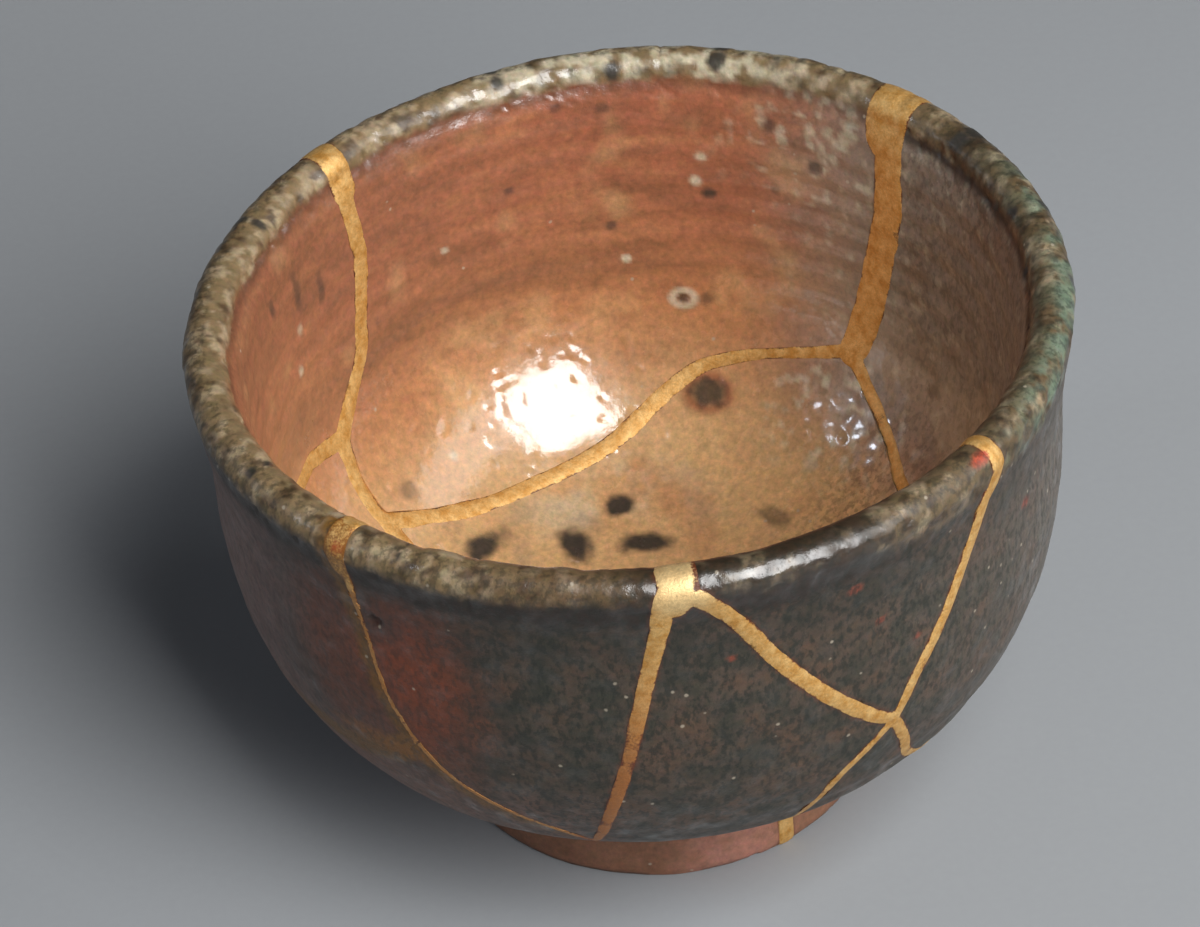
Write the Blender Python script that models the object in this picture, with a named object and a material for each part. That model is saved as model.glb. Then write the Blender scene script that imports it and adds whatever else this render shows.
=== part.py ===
"""A kintsugi sake cup: a small wood-fired stoneware cup that broke into seven sherds, which
gold-dusted lacquer joins again. Metres, +Z up, origin at the centre of the foot's underside.
Azimuths are in degrees round the cup, 0 at the front (-Y) and positive towards +X."""

import math

import bmesh
import bpy
import numpy as np
from mathutils import Vector

MM = 0.001

# Driving dimensions
RIM_DIAMETER = 68 * MM
HEIGHT = 44 * MM
FOOT_DIAMETER = 34 * MM
FOOT_HEIGHT = 5.5 * MM
FOOT_RING_WIDTH = 4.5 * MM
FOOT_RECESS = 2.5 * MM
FOOT_EDGE = 0.5 * MM
WALL = 3.6 * MM
LIP = 3.4 * MM
FLOOR = 5.5 * MM
FLOOR_DISH = 0.15 * MM
OVAL = 0.27 * MM
OVAL_AZIMUTH = 142
RIM_WAVE = 0.2 * MM
RIM_WAVE_AZIMUTH = 145
SEAM_WIDTH = 1 * MM
SEAM_PROUD = 0.25 * MM
JOINT_GAP = 0.3 * MM

RIM_RADIUS = RIM_DIAMETER / 2
FOOT_RADIUS = FOOT_DIAMETER / 2
LIP_CENTRE = (RIM_RADIUS - LIP / 2, HEIGHT - LIP / 2)
FLOOR_TOP = FOOT_RECESS + FLOOR

# How finely the shapes are drawn
TURNS = 72
STEPS_PER_STATION = 2
LIP_STEPS = 5
MAP_STEPS_PER_STATION = 24
CUT_STEP = 2 * MM
HAIR = 0.002 * MM

# The belly's outline from the foot to the neck, as shares of the rim's radius and of the height
BELLY = ((0.620, 0.20), (0.800, 0.30), (0.912, 0.45), (0.957, 0.62), (0.967, 0.80), (0.988, 0.91))

# Each crack runs through the wall, from one of the rim's five breaks or from another crack. Its points
# are (azimuth, level, width): level 0 is the middle of the floor and level 1 the lip, and the width
# counts in typical seam widths.
CRACKS = {
    "left_front": (
        (-43, 1.00, 2.2), (-41, 0.95, 1.0), (-40.5, 0.88, 0.7), (-38.5, 0.79, 0.6), (-34.5, 0.70, 0.6),
        (-29.5, 0.64, 0.6), (-23.5, 0.58, 0.6), (-18.5, 0.54, 0.6), (-12.5, 0.49, 0.6),
    ),
    "front": (
        (3.2, 1.00, 3.6), (1.5, 0.955, 2.4), (-1, 0.88, 1.4), (-3, 0.79, 1.2), (-4.5, 0.71, 1.1),
        (-7, 0.64, 1.1), (-11, 0.52, 0.9), (-12.5, 0.49, 0.8),
    ),
    "front_right": (
        (4, 0.975, 1.6), (9, 0.94, 1.3), (15, 0.86, 1.2), (22, 0.77, 1.1), (28, 0.71, 1.0),
        (32.5, 0.675, 0.9),
    ),
    "right_front": (
        (49, 1.00, 2.0), (46, 0.96, 1.0), (43, 0.90, 0.85), (39, 0.81, 0.7), (34, 0.71, 0.7),
        (32.5, 0.675, 0.8), (30, 0.65, 0.6), (25, 0.60, 0.6), (20.5, 0.51, 0.6), (22, 0.42, 0.8),
        (29, 0.33, 1.2), (29, 0.26, 1.6), (17, 0.18, 1.2), (-36, 0.11, 1.2), (-92, 0.17, 1.2),
        (-111, 0.30, 1.4), (-118.5, 0.47, 1.5),
    ),
    "right_low": (
        (32.5, 0.675, 0.8), (35, 0.62, 0.7), (39, 0.545, 0.8), (50, 0.49, 0.9), (70, 0.455, 1.0),
        (90, 0.45, 1.0), (105, 0.455, 1.1), (117, 0.475, 1.2), (124, 0.51, 1.2), (131, 0.55, 1.2),
        (139, 0.605, 1.4),
    ),
    "right_back": (
        (135.5, 1.00, 4.2), (134.5, 0.95, 2.8), (134.5, 0.87, 2.8), (136.5, 0.775, 2.8),
        (138, 0.68, 2.5), (139, 0.605, 2.0),
    ),
    "back_low": (
        (139, 0.605, 1.4), (143, 0.595, 1.0), (152.5, 0.575, 1.0), (161.5, 0.553, 1.1),
        (169, 0.523, 1.3), (176.5, 0.473, 1.3), (183, 0.433, 1.3), (193, 0.40, 1.4), (206, 0.39, 1.4),
        (219, 0.40, 1.4), (231, 0.428, 1.5), (241.5, 0.47, 1.5),
    ),
    "left_back": (
        (-135, 1.00, 2.4), (-135.5, 0.95, 1.5), (-135, 0.87, 1.4), (-133.5, 0.80, 1.2),
        (-131.5, 0.72, 1.2), (-126.5, 0.66, 1.4), (-122, 0.62, 1.6), (-120.5, 0.575, 1.4),
        (-119, 0.53, 1.2), (-118.5, 0.47, 1.4),
    ),
    "left_low": (
        (-122, 0.62, 1.2), (-115, 0.635, 1.0), (-109.5, 0.64, 0.9), (-90, 0.635, 0.8),
        (-70, 0.63, 0.7), (-45, 0.635, 0.7), (-38.5, 0.665, 0.6), (-34.5, 0.70, 0.6),
    ),
}

# One point well inside each sherd, as (azimuth, level)
SHERDS = {
    "left_wall_sherd": (-90, 0.85),
    "back_wall_sherd": (180, 0.80),
    "right_wall_sherd": (95, 0.75),
    "rim_triangle_sherd": (27, 0.90),
    "front_left_sherd": (-20, 0.80),
    "front_and_base_sherd": (10, 0.62),
    "floor_sherd": (90, 0.30),
}


def flowing(points, per_span):
    """A smooth curve through the points, as cubic spans whose parameter grows with the root of the chord."""
    points = np.array(points, float)
    chords = np.linalg.norm(np.diff(points, axis=0), axis=1)
    knots = np.concatenate([[0.0], np.cumsum(np.sqrt(chords))])
    gaps = np.diff(knots)[:, None]
    slopes = np.diff(points, axis=0) / gaps
    tangents = np.empty_like(points)
    tangents[1:-1] = (slopes[1:] * gaps[:-1] + slopes[:-1] * gaps[1:]) / (gaps[:-1] + gaps[1:])
    tangents[0] = 2 * slopes[0] - tangents[1]
    tangents[-1] = 2 * slopes[-1] - tangents[-2]
    t = np.linspace(0, 1, per_span, endpoint=False)[None, :, None]
    start, end = points[:-1, None], points[1:, None]
    leave, arrive = (tangents[:-1] * gaps)[:, None], (tangents[1:] * gaps)[:, None]
    spans = (
        (2 * t**3 - 3 * t**2 + 1) * start
        + (t**3 - 2 * t**2 + t) * leave
        + (3 * t**2 - 2 * t**3) * end
        + (t**3 - t**2) * arrive
    )
    return np.vstack([spans.reshape(-1, points.shape[1]), points[-1:]])


def outward_normals(curve):
    """Unit normals of a curve in the (radius, height) plane that rises from the foot to the rim."""
    along = np.gradient(curve, axis=0)
    along /= np.linalg.norm(along, axis=1)[:, None]
    return np.column_stack([along[:, 1], -along[:, 0]])


def outer_curve(per_span):
    """The outside from the top of the foot, over the belly, to the outer side of the lip."""
    belly = [(radius * RIM_RADIUS, height * HEIGHT) for radius, height in BELLY]
    return flowing([(FOOT_RADIUS, FOOT_HEIGHT), *belly, (RIM_RADIUS, LIP_CENTRE[1])], per_span)


def belly_inset(depth):
    """The belly's stations moved that far into the wall, square to the outside."""
    fine = outer_curve(MAP_STEPS_PER_STATION)
    inset = fine - outward_normals(fine) * depth
    return list(map(tuple, inset[MAP_STEPS_PER_STATION:-1:MAP_STEPS_PER_STATION]))


def inner_curve(per_span):
    """The inside from the middle of the floor to the inner side of the lip."""
    floor = [(0, FLOOR_TOP), (0.45 * FOOT_RADIUS, FLOOR_TOP + FLOOR_DISH)]
    return flowing([*floor, *belly_inset(WALL), (RIM_RADIUS - LIP, LIP_CENTRE[1])], per_span)


def middle_curve():
    """The middle of the wall's thickness, from the floor's centre to the lip's centre."""
    floor_middle = FLOOR_TOP - FLOOR / 2
    floor = [(0, floor_middle), (0.45 * FOOT_RADIUS, floor_middle)]
    return flowing([*floor, *belly_inset(WALL / 2), LIP_CENTRE], MAP_STEPS_PER_STATION)


def section():
    """The closed outline that is turned into the cup, from the axis under the foot to the axis inside."""
    ring_inside = FOOT_RADIUS - FOOT_RING_WIDTH
    foot = [
        (0, FOOT_RECESS),
        (ring_inside - FOOT_EDGE, FOOT_RECESS),
        (ring_inside, FOOT_RECESS - FOOT_EDGE),
        (ring_inside, FOOT_EDGE),
        (ring_inside + FOOT_EDGE, 0),
        (FOOT_RADIUS - FOOT_EDGE, 0),
        (FOOT_RADIUS, FOOT_EDGE),
    ]
    angles = np.linspace(0, math.pi, LIP_STEPS + 2)[1:-1]
    lip = np.column_stack([np.cos(angles), np.sin(angles)]) * LIP / 2 + LIP_CENTRE
    return np.vstack([foot, outer_curve(STEPS_PER_STATION), lip, inner_curve(STEPS_PER_STATION)[::-1]])


def swollen(outline, by):
    """The outline moved out of the clay by that much, but kept a joint's gap clear of the ground."""
    edges = np.diff(outline, axis=0)
    edges /= np.linalg.norm(edges, axis=1)[:, None]
    sides = np.column_stack([edges[:, 1], -edges[:, 0]])
    normals = np.vstack([sides[:1], sides[1:] + sides[:-1], sides[-1:]])
    normals /= np.linalg.norm(normals, axis=1)[:, None]
    moved = outline + normals * by
    moved[[0, -1], 0] = 0
    moved[:, 1] = np.maximum(moved[:, 1], JOINT_GAP)
    return moved


def hand_thrown(x, y, z):
    """The slight oval and the rim's slight wave, which grow from the foot to the rim."""
    azimuth = math.atan2(x, -y)
    share = min(max(z / HEIGHT, 0.0), 1.0)
    oval = OVAL * math.cos(2 * (azimuth - math.radians(OVAL_AZIMUTH)))
    wave = RIM_WAVE * math.cos(2 * (azimuth - math.radians(RIM_WAVE_AZIMUTH)))
    stretch = 1 + share * oval / RIM_RADIUS
    return x * stretch, y * stretch, z + share**3 * wave


def new_object(name, bm):
    """A scene object from a bmesh."""
    mesh = bpy.data.meshes.new(name)
    bm.to_mesh(mesh)
    bm.free()
    obj = bpy.data.objects.new(name, mesh)
    bpy.context.scene.collection.objects.link(obj)
    return obj


def turned(name, outline):
    """The outline spun round the axis, then made slightly oval and wavy as a thrown cup is."""
    bm = bmesh.new()
    points = [bm.verts.new((radius, 0, height)) for radius, height in outline]
    edges = [bm.edges.new(pair) for pair in zip(points, points[1:])]
    bmesh.ops.spin(
        bm, geom=[*points, *edges], axis=(0, 0, 1), cent=(0, 0, 0), angle=math.tau, steps=TURNS
    )
    bmesh.ops.remove_doubles(bm, verts=bm.verts, dist=0.00001)
    for vert in bm.verts:
        vert.co = hand_thrown(*vert.co)
    bmesh.ops.recalc_face_normals(bm, faces=bm.faces)
    return new_object(name, bm)


class WallMap:
    """Places on the wall by azimuth and level, where level is the share of the way from floor to lip."""

    def __init__(self):
        self.curve = middle_curve()
        self.normals = outward_normals(self.curve)
        steps = np.linalg.norm(np.diff(self.curve, axis=0), axis=1)
        self.length = steps.sum()
        self.levels = np.concatenate([[0.0], np.cumsum(steps)]) / self.length

    def place(self, azimuth, level):
        """The point in the middle of the wall and the normal there; above level 1 it goes straight up."""
        radius, height, out, up = (
            np.interp(level, self.levels, column) for column in (*self.curve.T, *self.normals.T)
        )
        height += max(level - 1, 0.0) * self.length
        side = Vector((math.sin(azimuth), -math.cos(azimuth), 0))
        return side * radius + Vector((0, 0, height)), (side * out + Vector((0, 0, up))).normalized()


def crack_line(wall, points):
    """A crack's (azimuth, level, width) along a smooth line, drawn on the wall spread flat as a disc."""
    azimuths, levels, widths = np.array(points, float).T
    azimuths = np.radians(azimuths)
    if levels[0] >= 1:
        azimuths = np.concatenate([azimuths[:1], azimuths])
        levels = np.concatenate([[1 + LIP / wall.length], levels])
        widths = np.concatenate([widths[:1], widths])
    disc = np.column_stack([levels * np.sin(azimuths), -levels * np.cos(azimuths), widths])
    line = flowing(disc, MAP_STEPS_PER_STATION)
    steps = np.linalg.norm(np.diff(line[:, :2], axis=0), axis=1) * wall.length
    travelled = np.concatenate([[0.0], np.cumsum(steps)])
    count = max(2, round(travelled[-1] / CUT_STEP))
    stops = np.linspace(0, travelled[-1], count + 1)
    x, y, width = (np.interp(stops, travelled, column) for column in line.T)
    return np.column_stack([np.arctan2(x, -y), np.hypot(x, y), width * SEAM_WIDTH])


def reach_outwards(place, normal, through_wall):
    """How far a crack goes out from the middle of the wall, which is down to the ground at floor and foot."""
    over_foot = min(max(1 - (math.hypot(place.x, place.y) - FOOT_RADIUS) / WALL, 0.0), 1.0)
    if over_foot == 0:
        return through_wall
    to_ground = (place.z + through_wall) / -normal.z
    return through_wall + over_foot * (to_ground - through_wall)


def crack_blade(name, wall, points, spare):
    """The solid that a crack takes out of the wall, larger than its seam by the spare on every side."""
    line = crack_line(wall, points)
    places = [wall.place(azimuth, level) for azimuth, level, _ in line]
    bm = bmesh.new()
    loops = []
    last = len(places) - 1
    for i, (place, normal) in enumerate(places):
        along = (places[min(i + 1, last)][0] - places[max(i - 1, 0)][0]).normalized()
        half_width = line[i][2] / 2 + spare
        across = along.cross(normal).normalized() * half_width
        place = place + along * spare * ((i == last) - (i == 0))
        outside = place + normal * reach_outwards(place, normal, WALL + half_width)
        inside = place - normal * (WALL + half_width)
        corners = (outside + across, outside - across, inside - across, inside + across)
        loops.append([bm.verts.new(corner) for corner in corners])
    for first, second in zip(loops, loops[1:]):
        for k in range(4):
            bm.faces.new((first[k], first[k - 1], second[k - 1], second[k]))
    bm.faces.new(loops[0])
    bm.faces.new(loops[-1][::-1])
    bmesh.ops.recalc_face_normals(bm, faces=bm.faces)
    return new_object(name, bm)


def tidy(mesh):
    """Closes the hair-thin edges that a cut can leave, and drops any edge left without a face."""
    bm = bmesh.new()
    bm.from_mesh(mesh)
    bmesh.ops.dissolve_degenerate(bm, dist=HAIR, edges=bm.edges)
    bmesh.ops.delete(bm, geom=[edge for edge in bm.edges if edge.is_wire], context="EDGES")
    bm.to_mesh(mesh)
    bm.free()


def combine(obj, other, operation):
    """Applies one exact Boolean to the object and removes the other."""
    modifier = obj.modifiers.new(operation.lower(), "BOOLEAN")
    modifier.operation = operation
    modifier.solver = "EXACT"
    modifier.object = other
    graph = bpy.context.evaluated_depsgraph_get()
    old = obj.data
    result = bpy.data.meshes.new_from_object(obj.evaluated_get(graph))
    obj.modifiers.clear()
    obj.data = result
    tidy(result)
    bpy.data.meshes.remove(old)
    bpy.data.objects.remove(other)


def loose_pieces(obj):
    """The object's separate solids, each as a list of face indices with the vertices they use."""
    bm = bmesh.new()
    bm.from_mesh(obj.data)
    bm.faces.ensure_lookup_table()
    seen = set()
    pieces = []
    for start in bm.faces:
        if start.index in seen:
            continue
        seen.add(start.index)
        found = [start]
        for face in found:
            for edge in face.edges:
                for neighbour in edge.link_faces:
                    if neighbour.index not in seen:
                        seen.add(neighbour.index)
                        found.append(neighbour)
        corners = {vert.index: vert.co.copy() for face in found for vert in face.verts}
        pieces.append((corners, [[vert.index for vert in face.verts] for face in found]))
    bm.free()
    return pieces


def sherd_object(name, piece):
    """One loose solid as an object of its own."""
    corners, faces = piece
    bm = bmesh.new()
    verts = {index: bm.verts.new(place) for index, place in corners.items()}
    for face in faces:
        bm.faces.new([verts[index] for index in face])
    return new_object(name, bm)


def material(name, colour, roughness, metallic):
    made = bpy.data.materials.new(name)
    made.use_nodes = True
    shader = made.node_tree.nodes["Principled BSDF"]
    shader.inputs["Base Color"].default_value = (*colour, 1)
    shader.inputs["Roughness"].default_value = roughness
    shader.inputs["Metallic"].default_value = metallic
    return made


def finish(obj, surface):
    obj.data.materials.clear()
    obj.data.materials.append(surface)
    obj.data.shade_smooth()
    obj.data.set_sharp_from_angle(angle=math.radians(35))


def crack_web(wall, spare):
    """Every crack's blade joined into one branching solid."""
    blades = [crack_blade(name, wall, points, spare) for name, points in CRACKS.items()]
    for blade in blades[1:]:
        combine(blades[0], blade, "UNION")
    return blades[0]


def make_sherds(wall, clay):
    """The turned cup with every crack cut out, parted into its sherds by the point inside each."""
    cup = turned("cup", section())
    combine(cup, crack_web(wall, JOINT_GAP), "DIFFERENCE")
    pieces = loose_pieces(cup)
    for name, (azimuth, level) in SHERDS.items():
        marker = wall.place(math.radians(azimuth), level)[0]
        nearest = min(pieces, key=lambda piece: min((co - marker).length for co in piece[0].values()))
        finish(sherd_object(name, nearest), clay)
    bpy.data.objects.remove(cup)


def make_seams(wall, gold):
    """The lacquer that fills every crack, one branching web that stands a little proud of the clay."""
    web = crack_web(wall, 0)
    combine(web, turned("swollen_cup", swollen(section(), SEAM_PROUD)), "INTERSECT")
    web.name = "gold_lacquer_seams"
    finish(web, gold)


def main():
    for obj in list(bpy.data.objects):
        bpy.data.objects.remove(obj)
    wall = WallMap()
    clay = material("wood_fired_stoneware", (0.16, 0.10, 0.07), 0.4, 0)
    gold = material("gold_dusted_lacquer", (0.72, 0.46, 0.17), 0.45, 1)
    make_sherds(wall, clay)
    make_seams(wall, gold)


main()
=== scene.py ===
"""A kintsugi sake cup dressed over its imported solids: seven wood-fired stoneware sherds and the web of
gold-dusted lacquer that joins them. Metres, +Z up, the foot's underside on z = 0.

A place on the cup is an azimuth, 0 at the front (-Y) and growing towards +X, and a level, the share of
the way from the middle of the floor (0) to the middle of the lip (1) along the wall. Every place has a
point on the outside and a point on the inside, and both sides share one grid of places."""

import math

import bpy
import numpy as np
from mathutils import Matrix, Vector


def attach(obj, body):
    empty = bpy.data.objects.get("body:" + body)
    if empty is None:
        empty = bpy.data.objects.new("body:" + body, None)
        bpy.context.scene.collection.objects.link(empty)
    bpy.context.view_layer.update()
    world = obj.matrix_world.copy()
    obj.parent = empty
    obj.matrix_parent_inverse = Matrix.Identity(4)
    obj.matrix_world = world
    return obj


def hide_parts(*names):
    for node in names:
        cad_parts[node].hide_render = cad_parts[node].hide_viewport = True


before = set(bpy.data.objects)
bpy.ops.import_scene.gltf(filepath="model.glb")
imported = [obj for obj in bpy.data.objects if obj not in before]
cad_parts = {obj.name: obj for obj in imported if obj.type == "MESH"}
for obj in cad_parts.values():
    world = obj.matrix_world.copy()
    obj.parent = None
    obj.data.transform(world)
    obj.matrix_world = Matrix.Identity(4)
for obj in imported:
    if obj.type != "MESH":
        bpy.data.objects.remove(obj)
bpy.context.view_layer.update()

MM = 0.001

# The cup's sizes, the same as in its solids
RIM_RADIUS = 34 * MM
HEIGHT = 44 * MM
FOOT_RADIUS = 17 * MM
FOOT_HEIGHT = 5.5 * MM
FOOT_RING_WIDTH = 4.5 * MM
FOOT_RECESS = 2.5 * MM
FOOT_EDGE = 0.5 * MM
WALL = 3.6 * MM
LIP = 3.4 * MM
FLOOR = 5.5 * MM
FLOOR_DISH = 0.15 * MM
OVAL = 0.27 * MM
OVAL_AZIMUTH = 142
RIM_WAVE = 0.2 * MM
RIM_WAVE_AZIMUTH = 145
BELLY = ((0.620, 0.20), (0.800, 0.30), (0.912, 0.45), (0.957, 0.62), (0.967, 0.80), (0.988, 0.91))

LIP_CENTRE = (RIM_RADIUS - LIP / 2, HEIGHT - LIP / 2)
FLOOR_TOP = FOOT_RECESS + FLOOR

# The grid of places: how many round the cup, the levels of the foot's corners, and how many rows of places
# there are between each two marks, closer at the foot
ROUND = 720
FOOT_LEVELS = (0, 0.22, 0.235, 0.287, 0.312)
ROW_MARKS = (*FOOT_LEVELS, 0.37, 1)
ROW_COUNTS = (24, 6, 9, 14, 14, 128)
LIP_ROWS = 9

# The cracks as lines of (azimuth, level, gold's width in mm)
CRACKS = {
    "left_front": (
        (-41.9, 1.012, 1.7), (-40.9, 0.965, 0.85), (-40.3, 0.885, 0.36), (-38.5, 0.785, 0.34),
        (-35, 0.70, 0.36), (-29.5, 0.634, 0.42), (-23.5, 0.586, 0.40), (-18.2, 0.552, 0.42),
        (-12.5, 0.50, 0.5),
    ),
    "front": (
        (2.6, 1.024, 2.6), (0.8, 0.985, 1.5), (-0.7, 0.91, 1.3), (-3.3, 0.80, 1.1), (-5.3, 0.715, 1.0),
        (-7.6, 0.64, 1.0), (-10.8, 0.54, 0.8), (-12.5, 0.50, 0.6),
    ),
    "front_right": (
        (5.4, 0.998, 1.4), (9.8, 0.95, 1.3), (15, 0.86, 1.25), (22, 0.768, 1.25), (28, 0.705, 1.15),
        (32.5, 0.672, 0.95),
    ),
    "right_front": (
        (50.2, 1.00, 1.5), (47.9, 0.955, 1.3), (45.9, 0.897, 1.2), (41.8, 0.82, 1.1), (36.2, 0.74, 1.0),
        (32.5, 0.672, 0.85), (30, 0.65, 0.75), (25, 0.60, 0.7), (20.5, 0.51, 0.65), (22, 0.42, 0.8),
        (31, 0.33, 1.1), (30, 0.26, 1.5), (17, 0.18, 1.1), (-36, 0.11, 1.1), (-92, 0.17, 1.1),
        (-111, 0.30, 1.5), (-118.5, 0.473, 1.7),
    ),
    "right_low": (
        (32.5, 0.672, 0.95), (35, 0.62, 0.95), (39, 0.545, 0.85), (50, 0.49, 0.9), (70, 0.455, 1.0),
        (90, 0.45, 1.0), (105, 0.455, 1.1), (118.3, 0.473, 1.3), (125.1, 0.508, 1.3), (132, 0.548, 1.3),
        (139, 0.604, 1.6),
    ),
    "right_back": (
        (135, 1.00, 4.2), (133.8, 0.95, 3.0), (133.3, 0.87, 3.0), (135.2, 0.775, 3.1),
        (137, 0.68, 3.0), (139, 0.604, 2.5),
    ),
    "back_low": (
        (139, 0.604, 1.5), (142.9, 0.594, 1.15), (152.5, 0.569, 1.05), (161.4, 0.548, 1.2),
        (169, 0.518, 1.4), (175.4, 0.473, 1.45), (182.4, 0.43, 1.45), (192.5, 0.397, 1.4), (206, 0.385, 1.4),
        (219.2, 0.392, 1.45), (231.1, 0.424, 1.5), (241.5, 0.473, 1.6),
    ),
    "left_back": (
        (-134.6, 1.00, 2.5), (-134.3, 0.95, 1.7), (-134.8, 0.872, 1.65), (-133.6, 0.798, 1.55),
        (-131.8, 0.724, 1.55), (-126.8, 0.661, 1.7), (-122, 0.62, 2.0), (-120.3, 0.574, 1.6),
        (-119.1, 0.535, 1.55), (-118.5, 0.473, 1.6),
    ),
    "left_low": (
        (-122, 0.62, 1.7), (-115, 0.635, 1.7), (-109.5, 0.64, 1.4), (-90, 0.635, 0.8),
        (-70, 0.63, 0.6), (-45, 0.635, 0.5), (-38.5, 0.665, 0.45), (-35, 0.70, 0.42),
    ),
}

# Each sherd's outline, as crack stretches walked one after another: (crack, from point, to point)
SHERDS = {
    "left_wall_sherd": (("left_back", 0, 6), ("left_low", 0, 7), ("left_front", 4, 0)),
    "front_left_sherd": (("left_front", 0, 8), ("front", 7, 0)),
    "rim_triangle_sherd": (("front_right", 0, 5), ("right_front", 5, 0)),
    "right_wall_sherd": (("right_front", 0, 5), ("right_low", 0, 10), ("right_back", 5, 0)),
    "back_wall_sherd": (("right_back", 0, 5), ("back_low", 0, 11), ("left_back", 9, 0)),
    "front_and_base_sherd": (
        ("front", 0, 7), ("left_front", 8, 4), ("left_low", 7, 0), ("left_back", 6, 9),
        ("right_front", 16, 5), ("front_right", 5, 0),
    ),
    "floor_sherd": (("right_front", 5, 16), ("back_low", 11, 0), ("right_low", 10, 0)),
}

# How far from a crack its distance is worked out, how much the gold stands out at its edge and how much more
# in its middle, and the angle from which an edge is drawn sharp
FAR = 6 * MM
GOLD_STEP = 0.02 * MM
GOLD_DOME = 0.09 * MM
SHARP = math.radians(50)

# Where bare clay turns to glaze outside: levels
BARE_END = (0.318, 0.33)

# Marks that both the relief and the colours show: azimuth, level
BLISTER = (165, 0.49)
CRATER = (170, 0.64)
WET_PATCH = (136, 0.50)

# Where a pale painted sheen, a painted reflection beside the highlight, lies on the floor: azimuth, level
PAINTED_SHEEN = (-172, 0.335)

# The fleck of red enamel and the bare amber lacquer on the lip: azimuth, level, and half sizes in mm
RED_ENAMEL, RED_SIZE = (48.0, 1.018), (1.0, 0.38)
AMBER_LIP, AMBER_SIZE = (-41.8, 1.0), (2.2, 2.8)

# Iron spots outside, dark and pale spots inside, and spots on the lip: azimuth, level, half sizes in mm and
# strength
RED_SPOTS = (
    (26, 0.94, 0.55, 0.4, 0.75), (30, 0.86, 0.4, 0.3, 0.75), (36, 0.80, 0.35, 0.3, 0.75),
    (60, 0.86, 0.5, 0.4, 0.75), (9, 0.88, 0.3, 0.3, 0.75),
)
DARK_SPOTS = (
    (-174, 0.31, 1.2, 1.0, 0.95), (-132, 0.34, 2.4, 1.2, 0.95), (-156, 0.26, 1.3, 1.9, 0.95),
    (-180, 0.235, 2.1, 1.0, 0.95), (141, 0.32, 1.6, 0.9, 0.55), (165, 0.82, 0.65, 0.5, 0.9),
    (155, 0.94, 0.7, 0.6, 0.7), (147, 0.89, 0.7, 0.6, 0.75), (-119, 0.90, 0.55, 1.6, 0.6),
    (-125, 0.87, 0.5, 1.5, 0.55), (-111, 0.92, 0.4, 0.7, 0.6), (-128, 0.48, 0.9, 0.8, 0.5),
    (-163, 0.86, 0.45, 0.35, 0.6), (154, 0.84, 0.4, 0.4, 0.5), (-179, 0.77, 0.5, 0.45, 0.7),
    (120, 0.62, 0.7, 0.6, 0.8), (-179, 0.96, 0.7, 0.45, 0.5), (-172, 0.97, 0.6, 0.45, 0.5),
    (166, 0.64, 0.7, 0.5, 0.5), (40, 0.3, 1.3, 0.9, 0.8), (75, 0.5, 0.8, 0.6, 0.7), (-60, 0.4, 1.2, 0.8, 0.8),
)
PALE_SPOTS = (
    (166, 0.88, 0.5, 0.4, 0.7), (167, 0.84, 0.5, 0.45, 0.75), (179, 0.71, 0.4, 0.35, 0.7),
    (-151, 0.80, 0.35, 0.3, 0.6), (-116, 0.78, 0.35, 0.5, 0.5), (-141, 0.48, 0.4, 0.4, 0.6),
    (-118, 0.84, 0.4, 0.5, 0.4), (135, 0.59, 0.5, 0.4, 0.6), (100, 0.8, 0.4, 0.4, 0.5),
    (-30, 0.7, 0.4, 0.4, 0.5),
)
RIM_SPOTS = (
    (163.5, 1.02, 0.75, 0.6, 0.9), (179, 1.01, 0.6, 0.5, 0.9), (-164, 1.02, 0.6, 0.5, 0.9),
    (121.7, 1.02, 0.8, 0.7, 0.9), (-117, 1.02, 0.45, 0.45, 0.9), (-59.5, 1.02, 0.4, 0.35, 0.9),
    (-33, 1.02, 0.3, 0.3, 0.9), (88, 1.0, 0.7, 0.6, 0.9), (104, 1.01, 0.6, 0.5, 0.9),
)


# Colours


def linear(code):
    """A colour written as sRGB hex, turned to the linear values that the shaders take."""
    shares = np.array([int(code[i : i + 2], 16) for i in (1, 3, 5)]) / 255
    return np.where(shares <= 0.04045, shares / 12.92, ((shares + 0.055) / 1.055) ** 2.4)


SMOKED = linear("#4A3E33")
OLIVE = linear("#2C2F26")
RUST = linear("#58402F")
FLUSH = linear("#7A3A1E")
MAUVE = linear("#7C6159")
PLUM = linear("#604640")
ASH_GREY = linear("#756D64")
ASH_BROWN = linear("#7C6E60")
ASH_WALL = linear("#8B8376")
RIM_TAN = linear("#7E6A4C")
# Pale ash, also the colour of painted sheen, glints and highlights
CREAM = linear("#A89577")
PALE_ASH_AND_PAINTED_SHEEN = linear("#CFC7AC")
RIM_BROWN = linear("#4C3623")
TREACLE = linear("#261C15")
VERDIGRIS = linear("#6F8B78")
EMBER = linear("#9E5F46")
APRICOT = linear("#B57A52")
TAN = linear("#D8AF7A")
UMBER = linear("#775039")
SOOT = linear("#32302D")
IRON_RED = linear("#8A3F2C")
BARE = linear("#8A6049")
# The pink of a painted highlight on the bare foot
BARE_PAINTED_HIGHLIGHT = linear("#B0796A")
LACQUER = linear("#5E2E16")
OLD_LACQUER = linear("#74501C")
AMBER = linear("#87561F")
RED_LACQUER = linear("#B04426")


# Smooth randomness and masks, as whole arrays


def corner_value(x, y, z, seed):
    """A value between -1 and 1 for each whole-numbered lattice corner: its numbers scrambled into one."""
    mixed = (x * 73856093) ^ (y * 19349663) ^ (z * 83492791) ^ (seed * 2654435761)
    mixed = (mixed ^ (mixed >> 13)) * 1274126177 & 0x7FFFFFFF
    mixed = (mixed ^ (mixed >> 15)) * 668265263 & 0x7FFFFFFF
    return (mixed ^ (mixed >> 12)) % 65536 / 32767.5 - 1


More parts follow.
